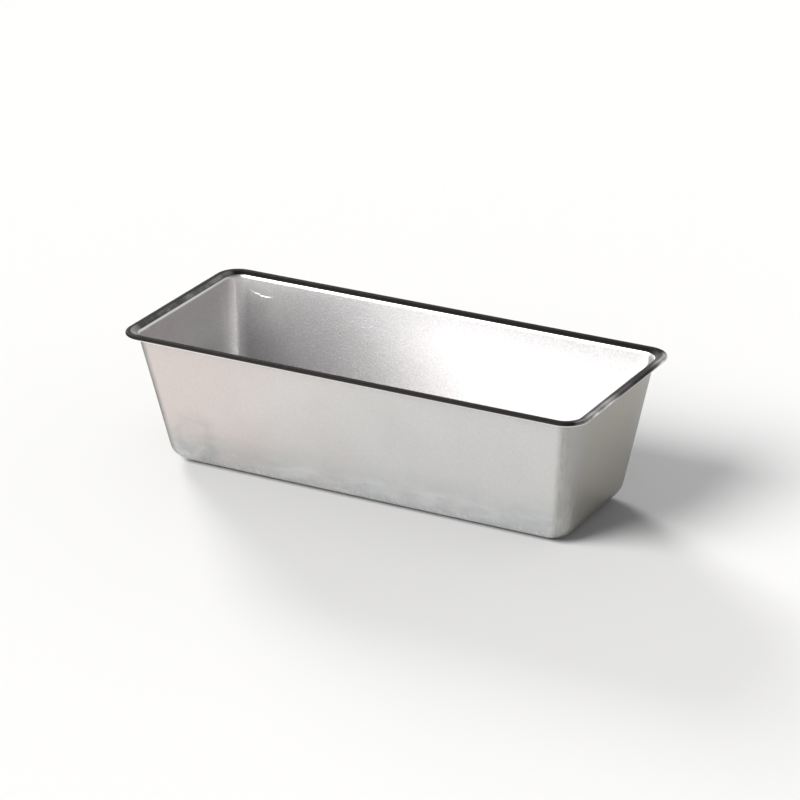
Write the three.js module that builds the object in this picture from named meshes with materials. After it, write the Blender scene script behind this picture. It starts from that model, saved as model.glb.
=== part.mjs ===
// Rectangular cake pan: a loaf tin drawn from one tinned sheet, its rim edge rolled round a stiffening wire.
// Millimetres, +Z up. The origin is the middle of the underside, +X runs along the pan and +Y across it.
import * as THREE from 'three';

// Overall sizes, over the rim
const RIM_LENGTH = 210;
const RIM_WIDTH = 91;
const PAN_HEIGHT = 60.3;

// Drawn sheet
const SHEET_THICKNESS = 0.35;
const END_WALL_DRAFT_DEGREES = 8.4;
const LONG_WALL_DRAFT_DEGREES = 11.7;
const BASE_FILLET_RADIUS = 8.5; // outside face, in section
const RIM_BEND_RADIUS = 3; // upper face, in section
const RIM_FLAT_WIDTH = 1.3; // from the end of the bend to straight above the wire

// Corners in plan
const BASE_CORNER_RADIUS = 5; // where the flat of the underside ends
const WALL_CORNER_RADIUS = 7; // outside face, the same from the foot of the wall to the bend
const RIM_CORNER_RADIUS = 10; // outer edge of the rim

// Rolled edge and the wire inside it
const WIRE_DIAMETER = 0.9;
const WIRE_CLEARANCE = 0.05;
const WIRE_END_GAP = 0.8; // between the butted ends, at the middle of the far long side
const CURL_WRAP_DEGREES = 265; // from straight above the wire, outwards, down and back up inside

// Facets
const ARC_STEPS = 8; // in each arc of the sheet's section and in each corner of the plan
const WIRE_SIDES = 10;

// Places in the section: x runs outwards from the rim's outer edge, so it is negative, and y is the height
const endDraft = THREE.MathUtils.degToRad(END_WALL_DRAFT_DEGREES);
const longDraft = THREE.MathUtils.degToRad(LONG_WALL_DRAFT_DEGREES);
const curlWrap = THREE.MathUtils.degToRad(CURL_WRAP_DEGREES);
const straightUp = Math.PI / 2;
const wireRadius = WIRE_DIAMETER / 2;
const curlInsideRadius = wireRadius + WIRE_CLEARANCE;
const beadRadius = curlInsideRadius + SHEET_THICKNESS;
const lowerBendRadius = RIM_BEND_RADIUS - SHEET_THICKNESS;
const wireCentre = new THREE.Vector2(-beadRadius, PAN_HEIGHT - beadRadius);
const bendCentre = new THREE.Vector2(wireCentre.x - RIM_FLAT_WIDTH, PAN_HEIGHT - RIM_BEND_RADIUS);

// Where the outside face of a wall, or its straight continuation, lies at a height.
function wallFace(draft, height) {
  return bendCentre.x - lowerBendRadius / Math.cos(draft) - (bendCentre.y - height) * Math.tan(draft);
}

// Where the flat of the base ends and its fillet begins.
function baseEdge(draft) {
  return wallFace(draft, BASE_FILLET_RADIUS) - BASE_FILLET_RADIUS / Math.cos(draft);
}

// One face of the sheet in section, from the edge of the floor up the wall and round the rolled edge.
// The depth is 0 for the outside and lower face, and the sheet's thickness for the inside and upper face.
function sheetFace(draft, depth) {
  const face = new THREE.Path();
  face.absarc(baseEdge(draft), BASE_FILLET_RADIUS, BASE_FILLET_RADIUS - depth, -straightUp, -draft);
  face.absarc(bendCentre.x, bendCentre.y, lowerBendRadius + depth, Math.PI - draft, straightUp, true);
  face.absarc(wireCentre.x, wireCentre.y, curlInsideRadius + depth, straightUp, straightUp - curlWrap, true);
  return face.getPoints(ARC_STEPS / 2);
}

// Plan radius of the lower face's corners: constant up the wall, easing to the base below and the rim above.
function cornerRadius(point) {
  if (point.x >= bendCentre.x) {
    return RIM_CORNER_RADIUS + point.x;
  }
  const beyondWall = point.x - wallFace(endDraft, point.y);
  if (beyondWall < 0) {
    const baseInset = baseEdge(endDraft) - wallFace(endDraft, 0);
    return THREE.MathUtils.mapLinear(beyondWall, 0, baseInset, WALL_CORNER_RADIUS, BASE_CORNER_RADIUS);
  }
  const bendReach = bendCentre.x - wallFace(endDraft, PAN_HEIGHT - SHEET_THICKNESS);
  const flatCornerRadius = RIM_CORNER_RADIUS + bendCentre.x;
  return THREE.MathUtils.mapLinear(beyondWall, 0, bendReach, WALL_CORNER_RADIUS, flatCornerRadius);
}

// A rounded rectangle round the pan, counter-clockwise from the +X end. It passes through one section point
// on both ends and another on both long sides, and its corners ease from one height to the other.
function ringAround(endPoint, sidePoint, radius) {
  const cornerX = RIM_LENGTH / 2 + endPoint.x - radius;
  const cornerY = RIM_WIDTH / 2 + sidePoint.x - radius;
  const outline = new THREE.Path();
  outline.absarc(cornerX, cornerY, radius, 0, Math.PI / 2);
  outline.absarc(-cornerX, cornerY, radius, Math.PI / 2, Math.PI);
  outline.absarc(-cornerX, -cornerY, radius, Math.PI, 1.5 * Math.PI);
  outline.absarc(cornerX, -cornerY, radius, 1.5 * Math.PI, 2 * Math.PI);
  return outline.getPoints(ARC_STEPS / 2).map((point) => {
    const turn = (Math.abs(point.y) - cornerY) / radius;
    const height = THREE.MathUtils.lerp(endPoint.y, sidePoint.y, turn * turn);
    return new THREE.Vector3(point.x, point.y, height);
  });
}

// The rings of one face of the sheet, from the edge of the floor to the end of the rolled edge.
function faceRings(depth) {
  const outsidePoints = sheetFace(endDraft, 0);
  const sidePoints = sheetFace(longDraft, depth);
  return sheetFace(endDraft, depth).map((endPoint, index) => {
    const outside = outsidePoints[index];
    const radius = cornerRadius(outside) + endPoint.x - outside.x;
    return ringAround(endPoint, sidePoints[index], radius);
  });
}

// A ring of the rim, cut open at the middle of the far long side.
function openRimRing(point) {
  const ring = ringAround(point, point, RIM_CORNER_RADIUS + point.x);
  const farCornerEnd = ARC_STEPS + 1;
  const farSide = ring[farCornerEnd].y;
  const firstEnd = new THREE.Vector3(-WIRE_END_GAP / 2, farSide, point.y);
  const lastEnd = new THREE.Vector3(WIRE_END_GAP / 2, farSide, point.y);
  return [firstEnd, ...ring.slice(farCornerEnd), ...ring.slice(0, farCornerEnd), lastEnd];
}

// A closed solid through sections with the same number of points, its two ends capped from their middles.
function loft(sections) {
  const count = sections[0].length;
  const points = sections.flat();
  const triangles = [];
  for (let section = 0; section + 1 < sections.length; section += 1) {
    for (let side = 0; side < count; side += 1) {
      const next = (side + 1) % count;
      const here = section * count;
      const beyond = here + count;
      triangles.push(here + side, beyond + side, here + next);
      triangles.push(here + next, beyond + side, beyond + next);
    }
  }
  const last = (sections.length - 1) * count;
  const firstMiddle = points.push(middleOf(sections[0])) - 1;
  const lastMiddle = points.push(middleOf(sections.at(-1))) - 1;
  for (let side = 0; side < count; side += 1) {
    const next = (side + 1) % count;
    triangles.push(firstMiddle, side, next);
    triangles.push(lastMiddle, last + next, last + side);
  }
  const geometry = new THREE.BufferGeometry().setFromPoints(points);
  geometry.setIndex(triangles);
  geometry.computeVertexNormals();
  return geometry;
}

function middleOf(section) {
  const sum = section.reduce((total, point) => total.add(point), new THREE.Vector3());
  return sum.divideScalar(section.length);
}

// Pan shell: floor, drafted walls, rim bend, narrow flat rim and rolled edge, all one sheet
function makePanShell() {
  const sections = [...faceRings(SHEET_THICKNESS), ...faceRings(0).reverse()];
  const tinnedSteel = new THREE.MeshStandardMaterial({ color: 0xd3d0cc, roughness: 0.32, metalness: 1 });
  const shell = new THREE.Mesh(loft(sections), tinnedSteel);
  shell.name = 'pan_shell';
  return shell;
}

// Rim wire: one wire bent to the rim's outline, its ends butted at the middle of the far long side
function makeRimWire() {
  const circle = new THREE.Path().absarc(wireCentre.x, wireCentre.y, wireRadius, 0, 2 * Math.PI);
  const roundSection = circle.getPoints(WIRE_SIDES / 2).slice(0, WIRE_SIDES);
  const strands = roundSection.map(openRimRing);
  const sections = strands[0].map((_, station) => strands.map((strand) => strand[station]));
  const drawnWire = new THREE.MeshStandardMaterial({ color: 0x8e8f92, roughness: 0.45, metalness: 1 });
  const wire = new THREE.Mesh(loft(sections), drawnWire);
  wire.name = 'rim_wire';
  return wire;
}

const cakePan = new THREE.Group();
cakePan.name = 'cake_pan';
cakePan.add(makePanShell(), makeRimWire());

export default cakePan;
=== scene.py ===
"""Looks of the rectangular cake pan: a loaf tin drawn from one tinned sheet, its rim rolled round a wire.

Metres, in the frame of the solids: +X along the pan, +Y across it away from the camera, +Z up.
"""
import math

import bpy
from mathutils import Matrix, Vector, noise


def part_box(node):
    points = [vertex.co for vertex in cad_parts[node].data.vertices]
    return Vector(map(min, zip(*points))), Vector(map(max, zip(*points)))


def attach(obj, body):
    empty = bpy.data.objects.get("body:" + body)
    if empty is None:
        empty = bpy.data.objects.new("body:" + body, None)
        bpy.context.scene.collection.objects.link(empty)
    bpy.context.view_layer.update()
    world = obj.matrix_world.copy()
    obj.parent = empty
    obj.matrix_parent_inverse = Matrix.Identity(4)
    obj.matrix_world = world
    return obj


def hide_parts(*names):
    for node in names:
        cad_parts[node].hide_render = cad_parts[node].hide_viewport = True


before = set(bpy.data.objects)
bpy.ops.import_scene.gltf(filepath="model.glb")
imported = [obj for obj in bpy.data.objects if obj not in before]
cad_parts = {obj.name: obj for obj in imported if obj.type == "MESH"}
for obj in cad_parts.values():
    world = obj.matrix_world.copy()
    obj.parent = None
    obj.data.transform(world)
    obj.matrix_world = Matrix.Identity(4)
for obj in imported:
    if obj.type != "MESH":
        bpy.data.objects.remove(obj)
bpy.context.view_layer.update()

MM = 0.001

# Sheet, as in the solids
SHEET_THICKNESS = 0.35 * MM
END_WALL_DRAFT = math.radians(8.4)
LONG_WALL_DRAFT = math.radians(11.7)
BASE_FILLET_RADIUS = 8.5 * MM
RIM_BEND_RADIUS = 3 * MM
RIM_FLAT_WIDTH = 1.3 * MM

# Corners in plan, as in the solids
BASE_CORNER_RADIUS = 5 * MM
WALL_CORNER_RADIUS = 7 * MM
RIM_CORNER_RADIUS = 10 * MM

# Rolled edge and wire, as in the solids
WIRE_DIAMETER = 0.9 * MM
WIRE_CLEARANCE = 0.05 * MM
WIRE_END_GAP = 0.8 * MM
CURL_WRAP = math.radians(265)

# How finely the shell and the wire are divided
CORNER_STEPS = 20
LONG_COLUMNS = 56
END_COLUMNS = 20
FILLET_STEPS = 14
WALL_ROWS = 16
BEND_STEPS = 20
CURL_STEPS = 22
FLOOR_RINGS = 8
WIRE_SIDES = 14

# Waves that pressing leaves in the walls
WAVE_HEIGHT = 0.07 * MM
WAVE_LENGTH = 45 * MM

# Colours of the sheet, with painted shade in those of the end walls
BRIGHT_TIN = (0.853, 0.840, 0.843, 1)
# Painted shade: the end walls inside darken towards the top in this colour
SHADED_INNER_END_TIN = (0.66, 0.622, 0.615, 1)
WARM_TIN = (0.738, 0.673, 0.647, 1)
GREY_TIN = (0.765, 0.764, 0.753, 1)
# Painted shade: the end walls outside take this darker colour
SHADED_END_TIN = (0.437, 0.419, 0.378, 1)
DARK_GRAIN = (0.30, 0.30, 0.30, 1)
BURNISHED_TIN = (0.95, 0.94, 0.935, 1)

# Colours of its marks, and of the painted shade on its corners and rim
DARKER_FOOT_TIN = (0.56, 0.583, 0.587, 1)
STAINED_TIN = (0.39, 0.395, 0.385, 1)
PALER_FOOT_TIN = (0.795, 0.82, 0.825, 1)
# Painted shade: the grey of the end's half of each corner outside
CORNER_SHADE_TIN = (0.445, 0.440, 0.420, 1)
SCORED_TIN = (0.20, 0.198, 0.19, 1)
# Darkened rim: tarnished metal, with painted shade standing in for dark reflections
TARNISH_AND_SHADE = (0.026, 0.024, 0.023, 1)

# Tints of the gloss at a glancing angle
WHITE = (1, 1, 1, 1)
TARNISH_SHEEN = (0.70, 0.69, 0.68, 1)
# Painted dark reflection: the gloss in the middle of each corner outside
CORNER_SHADE_SHEEN = (0.03, 0.03, 0.03, 1)

# Colours of the wire and the floor
WIRE_DARK = (0.22, 0.22, 0.225, 1)
WIRE_LIGHT = (0.34, 0.335, 0.33, 1)
FLOOR_WHITE = (0.9, 0.9, 0.9, 1)

# Roughness, each pair over the middle range of its noise
OUTSIDE_ROUGHNESS = (0.48, 0.54)
INSIDE_ROUGHNESS = (0.32, 0.35)
BURNISHED_ROUGHNESS = 0.32
TARNISH_ROUGHNESS = 0.6
WIRE_ROUGHNESS = (0.38, 0.5)

# Fineness of each noise, in cells per metre: one number, or one each along X, Y and Z
CLOUD_FINENESS = 45
GRAIN_FINENESS = 1500
SPANGLE_FINENESS = 1700
BLOTCH_FINENESS = (90, 90, 130)
WISP_FINENESS = (50, 50, 130)
LINE_FINENESS = 30
STROKE_FINENESS = (800, 800, 130)
STREAK_FINENESS = (700, 700, 25)
SCORE_FINENESS = (900, 900, 6)
WEAR_FINENESS = 55
PUCKER_FINENESS = 320
WIRE_MARK_FINENESS = (60, 60, 4000)

# A pair of limits or shares below says first where or how an effect is least, then where or how it is most

# Ranges of a noise
MIDDLE_NOISE = (0.3, 0.7)
SPECKLE_NOISE = (0.25, 0.75)
BLOTCH_NOISE = (0.35, 0.65)
WISP_NOISE = (0.47, 0.68)
LINE_NOISE = (0.38, 0.6)
STROKE_NOISE = (0.5, 0.68)
SCORE_NOISE = (0.5, 0.62)
WEAR_NOISE = (0.38, 0.62)

# Tin: how its warmth drifts along X, how high the painted shade at the top of its inner ends reaches, how
# much dark grain shows
WARMTH_DRIFT = 15 * MM
WARMTH_LIMITS = (30 * MM, -90 * MM)
SHADED_END_TOP_LIMITS = (38 * MM, 58 * MM)
SPECKLE_INSIDE = 0.32
SPECKLE_OUTSIDE = 0.15

# Foot darker towards the bottom: heights and shares
FOOT_LIMITS = (26 * MM, 0)
DARKER_FOOT_SHARES = (0.4, 1.0)

# A dull stain low on the front, near its left corner
STAIN_PLACE = (-76 * MM, -28 * MM, 13 * MM)
STAIN_RADIUS = 19 * MM
STAIN_CORE = STAIN_RADIUS / 3
STAIN_SHARES = (0.15, 0.5)

# Paler marks on the foot: heights and shares of the wisps, of a wandering line and of short strokes
WISP_RISE = (2 * MM, 7 * MM)
WISP_FALL = (16 * MM, 9 * MM)
WISP_SHARES = (0.0, 0.35)
LINE_HEIGHTS = (7 * MM, 12 * MM)
LINE_EDGE = (1.4 * MM, 0.2 * MM)
LINE_SHARES = (0.0, 0.3)
STROKE_RISE = (1 * MM, 2.5 * MM)
STROKE_FALL = (8 * MM, 3 * MM)
STROKE_SHARES = (0.0, 0.6)

# Corners outside, greyed by painted shade in draw streaks: rise over the cosine of the facing angle, reach
# as a share of half the end wall, scores
CORNER_RISE = (0.03, 0.5)
CORNER_REACH = 0.4
CORNER_SHADE_SHARES = (0.6, 1.0)
SCORE_HEIGHTS = (40 * MM, 12 * MM)
SCORE_TURN = (0.4, 0.9)
SCORE_SHARES = (0.0, 0.4)

# Places along the rim's section: 0 to 1 round the bend, then from CURL_COURSE on round the rolled edge
CURL_COURSE = 2
BURNISH_START = (0.0, 0.2)
# Start and end of the rim's darkened band of tarnished metal and painted shade
TARNISH_START = (0.28, 0.39)
TARNISH_END = (2.44, 2.34)
WORN_BEND_START = (0.3, 0.5)
WORN_BEND_END = (1.0, 0.7)
WORN_EDGE_START = (0.7, 1.6)
WORN_SPOT_END = (1.2, 0.7)

# Wear of the rim: on the bend at the left end, and on the edge at the right end away from its middle
WORN_LEFT = (50 * MM, -50 * MM)
WORN_RIGHT = (-50 * MM, 50 * MM)
WORN_TURN = (0.4, 1.0)
WORN_SHARES = (0.2, 0.65)
KEPT_MIDDLE = 7 * MM
KEPT_REACH = (12 * MM, 26 * MM)
KEPT_SHARES = (0.2, 1.3)

# A worn spot on the rim, at its near left corner
SPOT_PLACE = (-102 * MM, -39 * MM, 60 * MM)
SPOT_RADIUS = 8 * MM
SPOT_CORE = SPOT_RADIUS / 2
SPOT_SHARES = (0.0, 0.5)

# Relief of the sheet: its grain, coarser and uneven along X inside, and the draw streaks
GRAIN_STRENGTH = 0.5
GRAIN_HEIGHT = 0.06 * MM
SPANGLE_RISE = (-95 * MM, -45 * MM)
SPANGLE_DEPTHS = (1.2, 3.5)
SPANGLE_FALL = (30 * MM, -20 * MM)
SPANGLE_SHARES = (0.35, 1.0)
STREAK_STRENGTH = 0.3
STREAK_HEIGHT = 0.03 * MM

# A pucker that drawing left inside, under the rim at the far left corner: an arc about a point above it
PUCKER_CENTRE = (-83.8 * MM, 42.3 * MM, 67.1 * MM)
PUCKER_RADIUS = 15.6 * MM
PUCKER_HEIGHT = 0.18 * MM
PUCKER_STRENGTH = 1.0
PUCKER_WOBBLE = 0.35 * MM
PUCKER_SLOPE = (-6 * MM, 0)
PUCKER_SLOPE_SHARES = (0.0, 0.35)
PUCKER_FOLD = (-0.35 * MM, 0.35 * MM)
PUCKER_FOLD_SHARES = (0.0, 0.65)
PUCKER_FOOT = (9 * MM, 0.4 * MM)
PUCKER_LEFT = (-94 * MM, -83 * MM)
PUCKER_RIGHT = (-78 * MM, -84 * MM)

# Camera, at the photograph's angle
CAMERA_AZIMUTH = math.radians(28.143)
CAMERA_ELEVATION = math.radians(22.494)
CAMERA_DISTANCE = 1.51946
CAMERA_LENS = 166.5
CAMERA_AIM_RIGHT = 2.365 * MM
CAMERA_AIM_UP = 4.184 * MM

# Floor and room
FLOOR_SIZE = 12.0
FLOOR_DROP = 0.1 * MM
HORIZON_LEVEL = 0.75
HORIZON_TOP = math.radians(8)
OVERHEAD_LEVEL = 0.15
OVERHEAD_START = math.radians(45)

# Lamp in front, on the left
KEY_AZIMUTH = math.radians(-35)
KEY_ELEVATION = math.radians(40)
KEY_STRENGTH = 3.05
KEY_SPREAD = math.radians(40)
KEY_COLOUR = (1.0, 0.99, 0.98)

# Lamp behind, on the left
BACK_AZIMUTH = math.radians(-130)
BACK_ELEVATION = math.radians(18)
BACK_STRENGTH = 2.3
BACK_SPREAD = math.radians(18)
BACK_COLOUR = (1.0, 0.995, 0.99)

# Sizes that follow from the solids and the values above
_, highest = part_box("pan_shell")
half_length = highest.x
half_width = highest.y
pan_height = highest.z
wire_radius = WIRE_DIAMETER / 2
curl_inside_radius = wire_radius + WIRE_CLEARANCE
bead_radius = curl_inside_radius + SHEET_THICKNESS
lower_bend_radius = RIM_BEND_RADIUS - SHEET_THICKNESS
wire_centre = (-bead_radius, pan_height - bead_radius)
bend_centre = (wire_centre[0] - RIM_FLAT_WIDTH, pan_height - RIM_BEND_RADIUS)
quarter_turn = math.pi / 2


# Section of the sheet, as points of distance out from the rim's outline and height

def smooth(low, high, value):
    """0 up to the low limit, 1 from the high one, eased between them."""
    share = min(max((value - low) / (high - low), 0.0), 1.0)
    return share * share * (3 - 2 * share)


def arc(centre, radius, start, end, steps):
    """Points of an arc in section."""
    points = []
    for step in range(steps + 1):
        angle = start + (end - start) * step / steps
        points.append((centre[0] + radius * math.cos(angle), centre[1] + radius * math.sin(angle)))
    return points


def wall_face(draft, height):
    """Where the outside face of a wall, or its straight continuation, lies at a height."""
    beside_bend = bend_centre[0] - lower_bend_radius / math.cos(draft)
    return beside_bend - (bend_centre[1] - height) * math.tan(draft)


def base_edge(draft):
    """Where the flat of the base ends and its fillet begins."""
    return wall_face(draft, BASE_FILLET_RADIUS) - BASE_FILLET_RADIUS / math.cos(draft)


def sheet_face(draft, depth):
    """One face of the sheet in section, from the floor's edge to the end of the rolled edge."""
    fillet_centre = (base_edge(draft), BASE_FILLET_RADIUS)
    fillet = arc(fillet_centre, BASE_FILLET_RADIUS - depth, -quarter_turn, -draft, FILLET_STEPS)
    bend = arc(bend_centre, lower_bend_radius + depth, math.pi - draft, quarter_turn, BEND_STEPS)
    curl_end = quarter_turn - CURL_WRAP
    curl = arc(wire_centre, curl_inside_radius + depth, quarter_turn, curl_end, CURL_STEPS)
    foot = Vector(fillet[-1])
    top = Vector(bend[0])
    wall = [tuple(foot.lerp(top, row / WALL_ROWS)) for row in range(1, WALL_ROWS)]
    return fillet + wall + bend + curl


def rim_course():
    """For each point of a face, its place along the rim's section, with 0 for all below the bend."""
    low = [0.0] * (FILLET_STEPS + WALL_ROWS)
    bend = [step / BEND_STEPS for step in range(BEND_STEPS + 1)]
    curl = [CURL_COURSE + step / CURL_STEPS for step in range(CURL_STEPS + 1)]
    return low + bend + curl


# Plan of the pan

def corner_radius(out, height):
    """Plan radius of the lower face's corners: constant up the wall, easing to the base and to the rim."""
    if out >= bend_centre[0]:
        return RIM_CORNER_RADIUS + out
    beyond_wall = out - wall_face(END_WALL_DRAFT, height)
    if beyond_wall < 0:
        full = base_edge(END_WALL_DRAFT) - wall_face(END_WALL_DRAFT, 0)
        target = BASE_CORNER_RADIUS
    else:
        full = bend_centre[0] - wall_face(END_WALL_DRAFT, pan_height - SHEET_THICKNESS)
        target = RIM_CORNER_RADIUS + bend_centre[0]
    return WALL_CORNER_RADIUS + (target - WALL_CORNER_RADIUS) * beyond_wall / full


def plan_stations():
    """Stations counter-clockwise round the pan: shares of a corner's X and Y, and the angle faced."""
    corners = [(1, 1), (-1, 1), (-1, -1), (1, -1)]
    stations = []
    for quarter, corner in enumerate(corners):
        following = corners[(quarter + 1) % len(corners)]
        start = quarter * quarter_turn
        for step in range(CORNER_STEPS):
            stations.append((*corner, start + quarter_turn * step / CORNER_STEPS))
        columns = LONG_COLUMNS if quarter % 2 == 0 else END_COLUMNS
        for column in range(columns):
            along = Vector(corner).lerp(Vector(following), column / columns)
            stations.append((along.x, along.y, start + quarter_turn))
    return stations


def ring_around(end_point, side_point, radius, stations):
    """A rounded rectangle through one section point on the ends and another on the long sides."""
    corner_x = half_length + end_point[0] - radius
    corner_y = half_width + side_point[0] - radius
    ring = []
    for share_x, share_y, angle in stations:
        x = share_x * corner_x + radius * math.cos(angle)
        y = share_y * corner_y + radius * math.sin(angle)
        side_share = math.sin(angle) ** 2
        ring.append(Vector((x, y, end_point[1] + (side_point[1] - end_point[1]) * side_share)))
    return ring


def corner_streak_and_shade_band(station):
    """1 on the end's half of a corner, fading out round the corner and a little way along the end wall,
    where the corners take painted shade and draw streaks.
    """
    _, share_y, angle = station
    off_corner = smooth(0.0, CORNER_REACH, 1 - abs(share_y))
    return smooth(*CORNER_RISE, abs(math.cos(angle))) * (1 - off_corner)


# Shell

def wave(point, angle):
    """How far the pressed wall stands out of its true face at a point."""
    height_share = min(max(point.z / pan_height, 0.0), 1.0)
    ease = math.sin(math.pi * height_share) ** 2
    offset = WAVE_HEIGHT * ease * noise.noise(point / WAVE_LENGTH)
    return Vector((math.cos(angle), math.sin(angle), 0)) * offset


def face_rings(depth, stations):
    """The rings of one face of the sheet, from the floor's edge to the end of the rolled edge."""
    outside = sheet_face(END_WALL_DRAFT, 0)
    ends = sheet_face(END_WALL_DRAFT, depth)
    sides = sheet_face(LONG_WALL_DRAFT, depth)
    rings = []
    for reference, end_point, side_point in zip(outside, ends, sides):
        radius = corner_radius(*reference) + end_point[0] - reference[0]
        ring = ring_around(end_point, side_point, radius, stations)
        rings.append([point + wave(point, angle) for point, (_, _, angle) in zip(ring, stations)])
    return rings


def floor_rings(edge):
    """Rings across the flat of the floor, from its edge towards its middle."""
    rings = []
    for ring in range(1, FLOOR_RINGS):
        share = 1 - ring / FLOOR_RINGS
        rings.append([Vector((point.x * share, point.y * share, point.z)) for point in edge])
    return rings


def loft_faces(ring_count, ring_size):
    """Faces between rings of points that follow each other, each ring closed on itself."""
    faces = []
    for ring in range(ring_count - 1):
        here = ring * ring_size
        beyond = here + ring_size
        for side in range(ring_size):
            following = (side + 1) % ring_size
            faces.append((here + side, beyond + side, beyond + following, here + following))
    return faces


def fan_faces(middle, first, ring_size):
    """Triangles between a middle point and a ring, given by its first point."""
    return [(middle, first + side, first + (side + 1) % ring_size) for side in range(ring_size)]


def mesh_object(name, points, faces):
    """A smoothly shaded mesh, linked to the scene."""
    mesh = bpy.data.meshes.new(name)
    mesh.from_pydata(points, [], faces)
    mesh.update()
    mesh.shade_smooth()
    made = bpy.data.objects.new(name, mesh)
    bpy.context.scene.collection.objects.link(made)
    return made


def add_attribute(obj, name, values):
    """One number for each point of a mesh, for its material to read."""
    attribute = obj.data.attributes.new(name, "FLOAT", "POINT")
    attribute.data.foreach_set("value", values)


def mark_shell(shell, stations):
    """Tells the material where on the sheet each point lies, the two middles of the floor last."""
    inner_course = [0.0] * (FLOOR_RINGS - 1) + rim_course()
    half = len(inner_course)
    course = inner_course + inner_course[::-1]
    outer = [0.0] * half + [1.0] * half
    corner = [corner_streak_and_shade_band(station) for station in stations]
    end = [math.cos(angle) ** 2 for _, _, angle in stations]
    add_attribute(shell, "rim_course", [row for row in course for _ in stations] + [0.0, 0.0])
    add_attribute(shell, "outside_face", [row for row in outer for _ in stations] + [0.0, 1.0])
    add_attribute(shell, "corner_streak_and_shade_share", corner * len(course) + [0.0, 0.0])
    add_attribute(shell, "end_share", end * len(course) + [0.0, 0.0])


def make_shell():
    """The sheet, lofted from the floor's middle up inside, round the rim and down to the underside."""
    stations = plan_stations()
    count = len(stations)
    inside = face_rings(SHEET_THICKNESS, stations)
    outside = face_rings(0, stations)
    rings = floor_rings(inside[0])[::-1] + inside + outside[::-1] + floor_rings(outside[0])
    points = [point for ring in rings for point in ring]
    middle = len(points)
    points += [Vector((0, 0, SHEET_THICKNESS)), Vector((0, 0, 0))]
    floor_top = fan_faces(middle, 0, count)
    underside = [face[::-1] for face in fan_faces(middle + 1, middle - count, count)]
    faces = loft_faces(len(rings), count) + floor_top + underside
    shell = mesh_object("pan_shell_sheet", points, faces)
    mark_shell(shell, stations)
    return shell


# Wire

def wire_section(station, shift):
    """The wire's round section at a station, moved along X by a shift."""
    section = []
    for side in range(WIRE_SIDES):
        angle = 2 * math.pi * side / WIRE_SIDES
        out = wire_centre[0] + wire_radius * math.cos(angle)
        height = wire_centre[1] + wire_radius * math.sin(angle)
        point = ring_around((out, height), (out, height), RIM_CORNER_RADIUS + out, [station])[0]
        section.append(point + Vector((shift, 0, 0)))
    return section


def make_wire():
    """The wire in the rolled edge: one loop with its ends butted at the middle of the far long side."""
    stations = plan_stations()
    far_middle = CORNER_STEPS + LONG_COLUMNS // 2
    opened = stations[far_middle:] + stations[:far_middle + 1]
    half_gap = WIRE_END_GAP / 2
    shifts = [-half_gap] + [0.0] * (len(opened) - 2) + [half_gap]
    sections = [wire_section(station, shift) for station, shift in zip(opened, shifts)]
    points = [point for section in sections for point in section]
    last = len(points) - WIRE_SIDES
    first_end = tuple(range(WIRE_SIDES))
    last_end = tuple(last + side for side in reversed(range(WIRE_SIDES)))
    faces = loft_faces(len(sections), WIRE_SIDES) + [first_end, last_end]
    return mesh_object("rim_wire_loop", points, faces)


# Nodes of the materials

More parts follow.
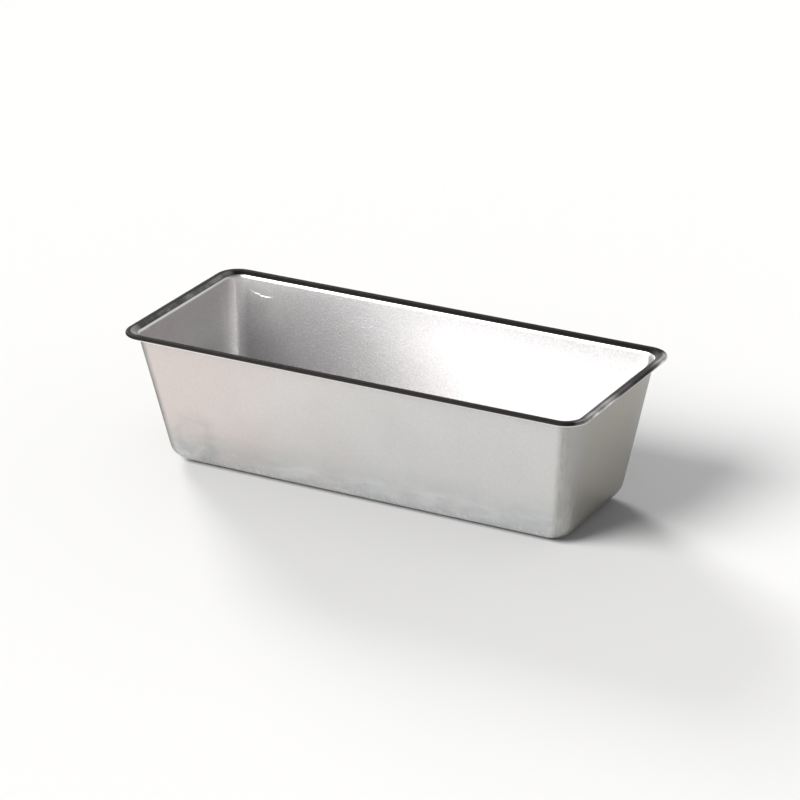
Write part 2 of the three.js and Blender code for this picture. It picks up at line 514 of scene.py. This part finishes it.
class Nodes:
    """Adds nodes to a tree, one line each."""

    # Sockets of a Mix node share their names, so they are reached by number
    MIX_SHARE = 0
    MIX_FIRST = 6
    MIX_SECOND = 7
    MIX_RESULT = 2

    def __init__(self, tree):
        self.tree = tree

    def fill(self, node, inputs):
        """Sets inputs of a node, each to a plain value or to the output of another node."""
        for name, value in inputs.items():
            socket = node.inputs[name]
            if isinstance(value, bpy.types.NodeSocket):
                self.tree.links.new(value, socket)
            else:
                socket.default_value = value

    def add(self, kind, inputs, **settings):
        node = self.tree.nodes.new(kind)
        for name, value in settings.items():
            setattr(node, name, value)
        self.fill(node, inputs)
        return node

    def attribute(self, name):
        return self.add("ShaderNodeAttribute", {}, attribute_name=name).outputs["Fac"]

    def coordinates(self, kind):
        return self.add("ShaderNodeTexCoord", {}).outputs[kind]

    def axes(self, place):
        return self.add("ShaderNodeSeparateXYZ", {"Vector": place}).outputs

    def distance(self, place, point):
        node = self.add("ShaderNodeVectorMath", {0: place, 1: point}, operation="DISTANCE")
        return node.outputs["Value"]

    def noise(self, place, fineness, detail=2.0, roughness=0.5, distortion=0.0):
        """Noise of a fineness in cells per metre, which may differ along X, Y and Z."""
        if isinstance(fineness, tuple):
            place = self.add("ShaderNodeMapping", {"Vector": place, "Scale": fineness}).outputs["Vector"]
            fineness = 1.0
        inputs = {"Vector": place, "Scale": fineness, "Detail": detail, "Roughness": roughness}
        inputs["Distortion"] = distortion
        return self.add("ShaderNodeTexNoise", inputs).outputs["Fac"]

    def math(self, operation, *values):
        return self.add("ShaderNodeMath", dict(enumerate(values)), operation=operation).outputs["Value"]

    def product(self, first, *others):
        for other in others:
            first = self.math("MULTIPLY", first, other)
        return first

    def rest(self, share):
        """What a share leaves of 1."""
        return self.math("SUBTRACT", 1.0, share)

    def ramp(self, value, low, high, to_low=0.0, to_high=1.0):
        """Eases from one result to another while a value runs between two limits."""
        inputs = {"Value": value, "From Min": low, "From Max": high, "To Min": to_low, "To Max": to_high}
        return self.add("ShaderNodeMapRange", inputs, interpolation_type="SMOOTHSTEP").outputs["Result"]

    def band(self, value, rise, fall):
        """1 between two pairs of limits and 0 outside them."""
        return self.product(self.ramp(value, *rise), self.ramp(value, *fall))

    def blend(self, share, first, second):
        """Eases from one number to another with a share."""
        return self.ramp(share, 0.0, 1.0, first, second)

    def mix(self, share, first, second):
        """Mixes two colours."""
        inputs = {self.MIX_SHARE: share, self.MIX_FIRST: first, self.MIX_SECOND: second}
        return self.add("ShaderNodeMix", inputs, data_type="RGBA").outputs[self.MIX_RESULT]

    def bump(self, height, strength, distance, normal=None):
        inputs = {"Height": height, "Strength": strength, "Distance": distance}
        if normal:
            inputs["Normal"] = normal
        return self.add("ShaderNodeBump", inputs).outputs["Normal"]


def new_material(name):
    material = bpy.data.materials.new(name)
    material.use_nodes = True
    material.node_tree.nodes.clear()
    nodes = Nodes(material.node_tree)
    shader = nodes.add("ShaderNodeBsdfPrincipled", {})
    nodes.add("ShaderNodeOutputMaterial", {"Surface": shader.outputs["BSDF"]})
    return material, nodes, shader


# Tin, with painted shade on its end walls

def tin_with_end_shade(nodes, place, clouds, grain):
    """Colour of the tin: brightest inside, warmer towards one end outside, speckled by fine crystals, with
    painted shade darkening the end walls outside and the top of the end walls inside.
    """
    along, _, height = nodes.axes(place)
    outside = nodes.attribute("outside_face")
    end = nodes.attribute("end_share")
    drift = nodes.math("ADD", along, nodes.ramp(clouds, *MIDDLE_NOISE, -WARMTH_DRIFT, WARMTH_DRIFT))
    long_side = nodes.mix(nodes.ramp(drift, *WARMTH_LIMITS), GREY_TIN, WARM_TIN)
    # Painted shade: the end walls outside are darkened
    outer = nodes.mix(end, long_side, SHADED_END_TIN)
    # Painted shade: the end walls inside darken towards the top
    shaded_end_top = nodes.product(end, nodes.ramp(height, *SHADED_END_TOP_LIMITS))
    inner = nodes.mix(shaded_end_top, BRIGHT_TIN, SHADED_INNER_END_TIN)
    dark_share = nodes.blend(outside, SPECKLE_INSIDE, SPECKLE_OUTSIDE)
    speckle = nodes.product(nodes.ramp(grain, *SPECKLE_NOISE), dark_share)
    return nodes.mix(speckle, nodes.mix(outside, inner, outer), DARK_GRAIN)


# Marks on the foot, each a share of the colour that it leaves

def darker_foot(nodes, height, blotches):
    patches = nodes.ramp(blotches, *BLOTCH_NOISE, *DARKER_FOOT_SHARES)
    return nodes.product(nodes.ramp(height, *FOOT_LIMITS), patches)


def stained(nodes, place, blotches):
    near = nodes.ramp(nodes.distance(place, STAIN_PLACE), STAIN_RADIUS, STAIN_CORE)
    patches = nodes.ramp(blotches, *BLOTCH_NOISE, *STAIN_SHARES)
    return nodes.product(near, patches)


def wisped(nodes, height, wisps):
    patches = nodes.ramp(wisps, *WISP_NOISE, *WISP_SHARES)
    return nodes.product(nodes.band(height, WISP_RISE, WISP_FALL), patches)


def paler_line(nodes, place, height, wisps):
    line_height = nodes.ramp(nodes.noise(place, LINE_FINENESS, detail=3), *MIDDLE_NOISE, *LINE_HEIGHTS)
    off_line = nodes.math("ABSOLUTE", nodes.math("SUBTRACT", height, line_height))
    patches = nodes.ramp(wisps, *LINE_NOISE, *LINE_SHARES)
    return nodes.product(nodes.ramp(off_line, *LINE_EDGE), patches)


def paler_strokes(nodes, place, height):
    strokes = nodes.ramp(nodes.noise(place, STROKE_FINENESS), *STROKE_NOISE, *STROKE_SHARES)
    return nodes.product(nodes.band(height, STROKE_RISE, STROKE_FALL), strokes)


def mottled_foot(nodes, place, colour):
    """The foot of the long walls outside: darker in blotches towards the bottom, stained at one place,
    paler in wisps, a wandering line and short strokes.
    """
    height = nodes.axes(place)[2]
    blotches = nodes.noise(place, BLOTCH_FINENESS, detail=4, roughness=0.55, distortion=0.4)
    wisps = nodes.noise(place, WISP_FINENESS, detail=4, roughness=0.55, distortion=0.5)
    smudges = [
        (darker_foot(nodes, height, blotches), DARKER_FOOT_TIN),
        (stained(nodes, place, blotches), STAINED_TIN),
        (wisped(nodes, height, wisps), PALER_FOOT_TIN),
        (paler_line(nodes, place, height, wisps), PALER_FOOT_TIN),
        (paler_strokes(nodes, place, height), PALER_FOOT_TIN),
    ]
    long_walls = nodes.product(nodes.attribute("outside_face"), nodes.rest(nodes.attribute("end_share")))
    for share, smudge in smudges:
        colour = nodes.mix(nodes.product(share, long_walls), colour, smudge)
    return colour


# Painted shade and marks of drawing at the corners

def corner_shade_and_scores(nodes, place, streaks, colour):
    """The corners outside, greyed by painted shade in draw streaks and scored low down on the end's half.
    """
    corner = nodes.product(nodes.attribute("corner_streak_and_shade_share"), nodes.attribute("outside_face"))
    # Painted shade, in draw streaks, on the end's half of each corner outside
    drawn = nodes.product(corner, nodes.ramp(streaks, *MIDDLE_NOISE, *CORNER_SHADE_SHARES))
    low = nodes.ramp(nodes.axes(place)[2], *SCORE_HEIGHTS)
    end_half = nodes.ramp(nodes.attribute("end_share"), *SCORE_TURN)
    scores = nodes.ramp(nodes.noise(place, SCORE_FINENESS), *SCORE_NOISE, *SCORE_SHARES)
    colour = nodes.mix(drawn, colour, CORNER_SHADE_TIN)
    return nodes.mix(nodes.product(low, drawn, end_half, scores), colour, SCORED_TIN)


def corner_pucker(nodes, place):
    """Height of the pucker: a sharp fold along its arc, easing off above, below and to both sides."""
    along = nodes.axes(place)[0]
    uneven = nodes.noise(place, PUCKER_FINENESS, detail=3)
    wobble = nodes.ramp(uneven, *MIDDLE_NOISE, -PUCKER_WOBBLE, PUCKER_WOBBLE)
    beyond_arc = nodes.math("SUBTRACT", nodes.distance(place, PUCKER_CENTRE), PUCKER_RADIUS)
    beyond = nodes.math("ADD", beyond_arc, wobble)
    slope = nodes.ramp(beyond, *PUCKER_SLOPE, *PUCKER_SLOPE_SHARES)
    fold = nodes.ramp(beyond, *PUCKER_FOLD, *PUCKER_FOLD_SHARES)
    raised = nodes.product(nodes.math("ADD", slope, fold), nodes.ramp(beyond, *PUCKER_FOOT))
    inside = nodes.rest(nodes.attribute("outside_face"))
    return nodes.product(raised, nodes.band(along, PUCKER_LEFT, PUCKER_RIGHT), inside)


# Tarnished metal and painted shade on the rim

def worn_ends(nodes, place, course):
    """How far the rim's ends are worn: on the bend at the left end, on the edge at the right one."""
    along, across, _ = nodes.axes(place)
    bend = nodes.product(nodes.band(course, WORN_BEND_START, WORN_BEND_END), nodes.ramp(along, *WORN_LEFT))
    edge = nodes.product(nodes.ramp(course, *WORN_EDGE_START), nodes.ramp(along, *WORN_RIGHT))
    off_middle = nodes.math("ABSOLUTE", nodes.math("SUBTRACT", across, KEPT_MIDDLE))
    edge = nodes.product(edge, nodes.ramp(off_middle, *KEPT_REACH, *KEPT_SHARES))
    ends = nodes.ramp(nodes.attribute("end_share"), *WORN_TURN)
    return nodes.product(nodes.math("ADD", bend, edge), ends)


def worn_spot(nodes, place, course):
    """How far the rim is worn at one spot, on its bend alone."""
    spot = nodes.ramp(nodes.distance(place, SPOT_PLACE), SPOT_RADIUS, SPOT_CORE, *SPOT_SHARES)
    return nodes.product(spot, nodes.ramp(course, *WORN_SPOT_END))


def rim_tarnish_and_shade(nodes, place, course):
    """How far the rim's upper side is darkened, by tarnished metal and by painted shade standing in for
    dark reflections: most on the long sides, worn in patches on the ends.
    """
    patches = nodes.noise(place, WEAR_FINENESS, detail=4, roughness=0.6)
    worn = nodes.product(worn_ends(nodes, place, course), nodes.ramp(patches, *WEAR_NOISE, *WORN_SHARES))
    clear = nodes.math("MAXIMUM", worn, worn_spot(nodes, place, course))
    upper = nodes.rest(nodes.attribute("outside_face"))
    return nodes.product(nodes.band(course, TARNISH_START, TARNISH_END), upper, nodes.rest(clear))


# Materials

def sheen_with_corner_shade(nodes, tarnish_and_shade):
    """Glancing tint of the sheet: a painted dark reflection in the middle of a corner outside, dimmed on
    the rim's tarnished metal and painted shade.
    """
    end = nodes.attribute("end_share")
    off_middle = nodes.math("SUBTRACT", nodes.product(end, 2.0), 1.0)
    turn = nodes.rest(nodes.product(off_middle, off_middle))
    # Painted dark reflection: the gloss in the middle of each corner outside is tinted nearly black
    sheen = nodes.mix(nodes.product(turn, nodes.attribute("outside_face")), WHITE, CORNER_SHADE_SHEEN)
    return nodes.mix(tarnish_and_shade, sheen, TARNISH_SHEEN)


def sheet_roughness(nodes, clouds, burnished, tarnish_and_shade):
    """Roughness of the sheet: satin outside, brighter inside and on the bend, dull on the rim's darkened
    band.
    """
    satin = nodes.ramp(clouds, *MIDDLE_NOISE, *OUTSIDE_ROUGHNESS)
    bright = nodes.ramp(clouds, *MIDDLE_NOISE, *INSIDE_ROUGHNESS)
    roughness = nodes.blend(nodes.attribute("outside_face"), bright, satin)
    roughness = nodes.blend(burnished, roughness, BURNISHED_ROUGHNESS)
    return nodes.blend(tarnish_and_shade, roughness, TARNISH_ROUGHNESS)


def sheet_relief(nodes, place, grain, streaks):
    """Relief of the sheet: its grain, then the draw streaks at the corners, then the pucker."""
    along = nodes.axes(place)[0]
    left_depth = nodes.ramp(along, *SPANGLE_RISE, *SPANGLE_DEPTHS)
    depth = nodes.product(left_depth, nodes.ramp(along, *SPANGLE_FALL, *SPANGLE_SHARES))
    spangle = nodes.product(nodes.noise(place, SPANGLE_FINENESS), depth)
    grained = nodes.blend(nodes.attribute("outside_face"), spangle, grain)
    fine = nodes.bump(grained, GRAIN_STRENGTH, GRAIN_HEIGHT)
    streaked = nodes.product(streaks, nodes.attribute("corner_streak_and_shade_share"))
    drawn = nodes.bump(streaked, STREAK_STRENGTH, STREAK_HEIGHT, fine)
    return nodes.bump(corner_pucker(nodes, place), PUCKER_STRENGTH, PUCKER_HEIGHT, drawn)


def tinned_sheet():
    """Satin tinned sheet: fine grain, a mottled foot, draw marks and painted shade at the corners, painted
    shade on the end walls, a rim darkened by tarnished metal and painted shade.
    """
    material, nodes, shader = new_material("tinned_sheet")
    place = nodes.coordinates("Object")
    clouds = nodes.noise(place, CLOUD_FINENESS, detail=3)
    grain = nodes.noise(place, GRAIN_FINENESS, detail=3, roughness=0.6)
    streaks = nodes.noise(place, STREAK_FINENESS)
    course = nodes.attribute("rim_course")
    burnished = nodes.ramp(course, *BURNISH_START)
    tarnish_and_shade = rim_tarnish_and_shade(nodes, place, course)

    colour = tin_with_end_shade(nodes, place, clouds, grain)
    colour = mottled_foot(nodes, place, colour)
    colour = corner_shade_and_scores(nodes, place, streaks, colour)
    colour = nodes.mix(burnished, colour, BURNISHED_TIN)
    colour = nodes.mix(tarnish_and_shade, colour, TARNISH_AND_SHADE)
    nodes.fill(shader, {
        "Metallic": 1.0,
        "Base Color": colour,
        "Specular Tint": sheen_with_corner_shade(nodes, tarnish_and_shade),
        "Roughness": sheet_roughness(nodes, clouds, burnished, tarnish_and_shade),
        "Normal": sheet_relief(nodes, place, grain, streaks),
    })
    return material


def drawn_wire():
    """Plain drawn steel wire with fine marks along it."""
    material, nodes, shader = new_material("drawn_wire")
    marks = nodes.noise(nodes.coordinates("Object"), WIRE_MARK_FINENESS)
    nodes.fill(shader, {
        "Metallic": 1.0,
        "Base Color": nodes.mix(marks, WIRE_DARK, WIRE_LIGHT),
        "Roughness": nodes.ramp(marks, *MIDDLE_NOISE, *WIRE_ROUGHNESS),
    })
    return material


def floor_white():
    """Matt white, without gloss."""
    material, nodes, shader = new_material("floor_white")
    nodes.fill(shader, {"Base Color": FLOOR_WHITE, "Roughness": 1.0, "Specular IOR Level": 0.0})
    return material


# Studio

def towards(azimuth, elevation):
    """Direction from the pan: azimuth 0 is straight in front of it, positive to the right."""
    level = math.cos(elevation)
    return Vector((math.sin(azimuth) * level, -math.cos(azimuth) * level, math.sin(elevation)))


def make_floor():
    half = FLOOR_SIZE / 2
    corners = [(-half, -half), (half, -half), (half, half), (-half, half)]
    floor = mesh_object("floor", [(x, y, -FLOOR_DROP) for x, y in corners], [(0, 1, 2, 3)])
    floor.data.materials.append(floor_white())


def make_sun(name, azimuth, elevation, strength, spread, colour):
    light = bpy.data.lights.new(name, "SUN")
    light.energy = strength
    light.angle = spread
    light.color = colour
    sun = bpy.data.objects.new(name, light)
    sun.rotation_mode = "QUATERNION"
    sun.rotation_quaternion = towards(azimuth, elevation).to_track_quat("Z", "Y")
    bpy.context.scene.collection.objects.link(sun)


def make_world():
    """A soft room: pale near the horizon, dimmer overhead."""
    world = bpy.data.worlds.new("studio")
    world.use_nodes = True
    nodes = Nodes(world.node_tree)
    rise = nodes.axes(nodes.coordinates("Generated"))[2]
    low = math.sin(HORIZON_TOP)
    high = math.sin(OVERHEAD_START)
    level = nodes.ramp(rise, low, high, HORIZON_LEVEL, OVERHEAD_LEVEL)
    nodes.fill(world.node_tree.nodes["Background"], {"Color": WHITE, "Strength": level})
    bpy.context.scene.world = world


def make_camera():
    back = towards(CAMERA_AZIMUTH, CAMERA_ELEVATION)
    right = Vector((math.cos(CAMERA_AZIMUTH), math.sin(CAMERA_AZIMUTH), 0))
    up = back.cross(right)
    data = bpy.data.cameras.new("camera")
    data.lens = CAMERA_LENS
    camera = bpy.data.objects.new("camera", data)
    middle = Vector((0, 0, pan_height / 2))
    camera.location = middle + right * CAMERA_AIM_RIGHT + up * CAMERA_AIM_UP + back * CAMERA_DISTANCE
    camera.rotation_mode = "QUATERNION"
    camera.rotation_quaternion = (-back).to_track_quat("-Z", "Y")
    bpy.context.scene.collection.objects.link(camera)
    bpy.context.scene.camera = camera


# Pan

shell = make_shell()
shell.data.materials.append(tinned_sheet())
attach(shell, "root")
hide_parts("pan_shell")

wire = make_wire()
wire.data.materials.append(drawn_wire())
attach(wire, "root")
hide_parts("rim_wire")

# Floor, light and camera

make_floor()
make_sun("key", KEY_AZIMUTH, KEY_ELEVATION, KEY_STRENGTH, KEY_SPREAD, KEY_COLOUR)
make_sun("back", BACK_AZIMUTH, BACK_ELEVATION, BACK_STRENGTH, BACK_SPREAD, BACK_COLOUR)
make_world()
make_camera()
bpy.context.scene.view_settings.view_transform = "Standard"

# Caustics from the metal are left out, because they only add noise
bpy.context.scene.cycles.caustics_reflective = False
